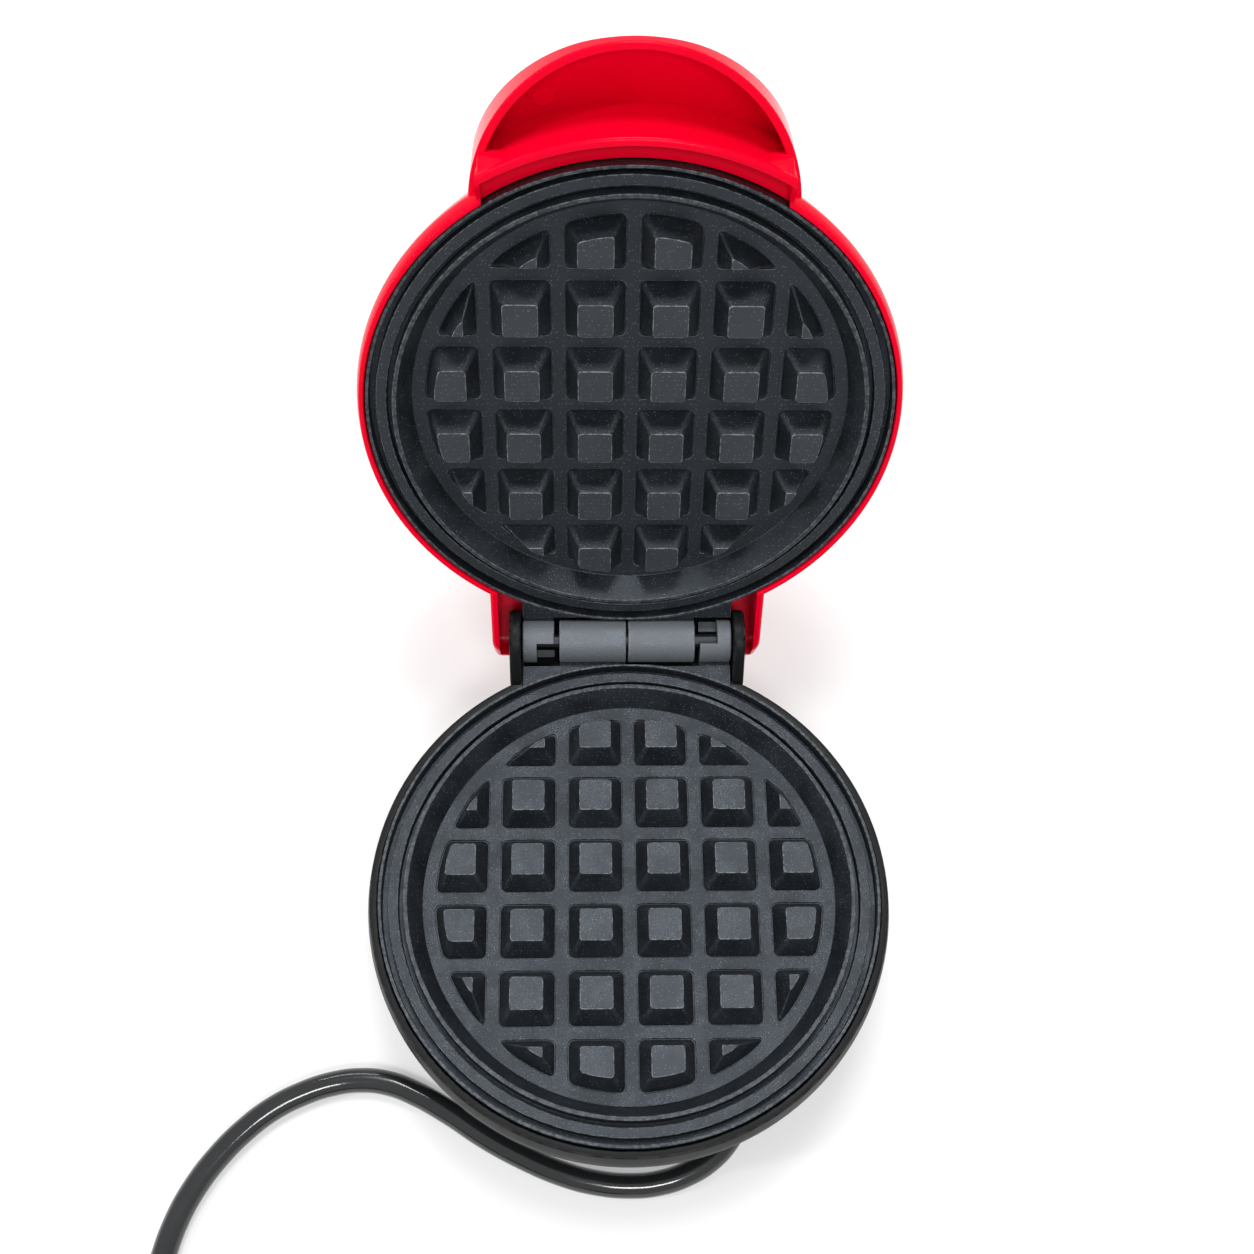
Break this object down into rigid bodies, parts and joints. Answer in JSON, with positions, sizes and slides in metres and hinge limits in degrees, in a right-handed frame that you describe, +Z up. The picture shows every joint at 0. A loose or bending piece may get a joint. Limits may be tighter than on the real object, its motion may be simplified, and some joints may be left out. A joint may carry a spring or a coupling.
{
  "type": "mini waffle maker",
  "caption": "Small round waffle maker, lid hinged open, with studded non-stick plates, a red lid with a visor handle, a black base on rubber feet, and a coiled mains cord with its plug.",
  "frame": {"origin": "on the table, under the middle of the open cooker's bounding box, measured without the free cord and its plug", "axes": "+Z up, +Y from the front of the base towards the hinge and the open lid, +X towards the right as seen from the front"},
  "size_m": [0.1699, 0.2962, 0.1636],
  "materials": {
    "black_plastic": "satin moulded black plastic",
    "red_gloss_plastic": "bright red gloss moulded plastic",
    "coated_aluminium": "cast aluminium with a dark non-stick coat",
    "zinc_steel": "zinc plated steel",
    "element_steel": "darkened steel sheath",
    "bright_aluminium": "bright sheet",
    "foot_rubber": "matt black rubber",
    "cord_pvc": "glossy black flexible PVC",
    "thermostat_phenolic": "brown phenolic",
    "fuse_sleeve": "white woven sleeve",
    "terminal_nylon": "natural nylon",
    "plug_brass": "bright brass",
    "indicator_amber": "clear amber moulding",
    "lamp_glass": "clear glass",
    "lead_brown": "brown insulation",
    "lead_blue": "blue insulation"
  },
  "bodies": {
    "base": {"base_housing": "black_plastic", "bottom_cover": "black_plastic", "cord_lead_live": "lead_brown", "cord_lead_neutral": "lead_blue", "cover_screw_left": "zinc_steel", "cover_screw_rear": "zinc_steel", "cover_screw_right": "zinc_steel", "foot_pad_front_left": "foot_rubber", "foot_pad_front_right": "foot_rubber", "foot_pad_rear_left": "foot_rubber", "foot_pad_rear_right": "foot_rubber", "fuse_lead": "lead_blue", "hinge_pin": "element_steel", "lower_clamp_screw": "zinc_steel", "lower_element_clamp": "zinc_steel", "lower_heating_element": "element_steel", "lower_waffle_plate": "coated_aluminium", "plug_blade_left": "plug_brass", "plug_blade_right": "plug_brass", "plug_body": "cord_pvc", "power_cord": "cord_pvc", "power_cord_coil": "cord_pvc", "strain_relief": "cord_pvc", "terminal_block": "terminal_nylon", "thermal_fuse": "fuse_sleeve", "thermostat": "thermostat_phenolic", "thermostat_lead": "lead_brown"},
    "lid": {"indicator_lamp": "lamp_glass", "indicator_lens": "indicator_amber", "lid_shell": "red_gloss_plastic", "shield_screw_left": "zinc_steel", "shield_screw_rear": "zinc_steel", "shield_screw_right": "zinc_steel", "upper_clamp_screw": "zinc_steel", "upper_element_clamp": "zinc_steel", "upper_heat_shield": "bright_aluminium", "upper_heating_element": "element_steel", "upper_waffle_plate": "coated_aluminium"}
  },
  "joints": [
    {"name": "lid_hinge", "type": "hinge", "parent": "base", "child": "lid", "pos_m": [0, 0.02616, 0.0355], "axis": [1, 0, 0], "range_deg": [0, 113.5]}
  ]
}
